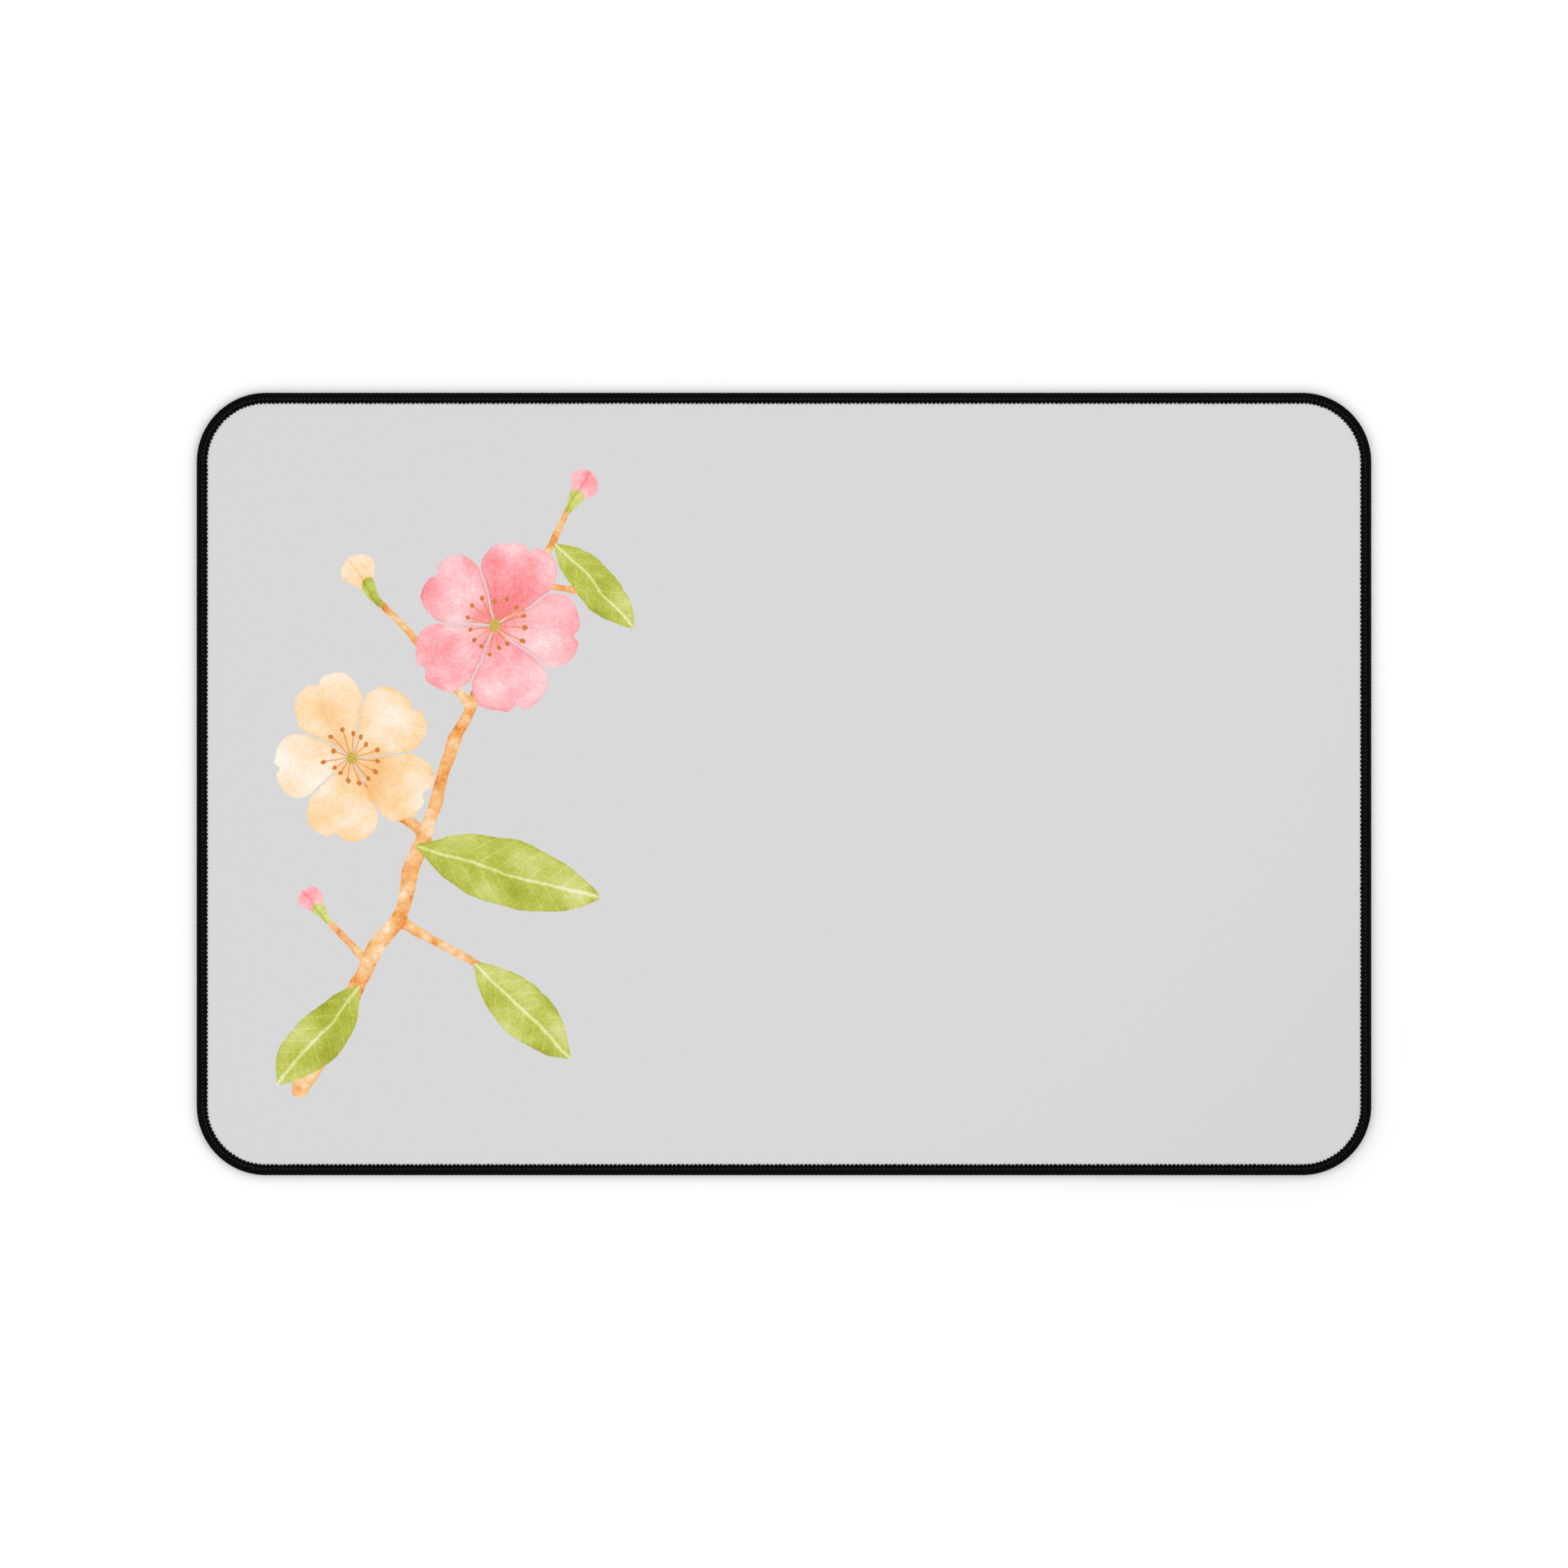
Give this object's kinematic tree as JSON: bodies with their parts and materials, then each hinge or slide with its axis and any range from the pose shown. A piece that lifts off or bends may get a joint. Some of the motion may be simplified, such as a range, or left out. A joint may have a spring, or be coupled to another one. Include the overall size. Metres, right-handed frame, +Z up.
{
  "type": "desk mat",
  "caption": "Thin rectangular desk mat with round corners: a printed cloth face on a foam rubber base, with an overlocked edge of black thread.",
  "frame": {"origin": "middle of the underside, where the mat lies on the desk", "axes": "+X along the long side, to the right as the printed design is read; +Y along the short side, away from the user; +Z up, out of the printed face"},
  "size_m": [0.4576, 0.3048, 0.0034],
  "materials": {
    "rubber": "black foam rubber with a fine anti-slip texture underneath",
    "cloth": "light grey woven polyester, matt, with a dye-printed design",
    "looper_thread": "black textured polyester thread, matt",
    "needle_thread": "black twisted polyester thread with a slight sheen"
  },
  "bodies": {
    "root": {"rubber_base": "rubber", "cloth_face": "cloth", "upper_looper_thread": "looper_thread", "lower_looper_thread": "looper_thread", "needle_thread_outer": "needle_thread", "needle_thread_inner": "needle_thread"}
  },
  "joints": []
}
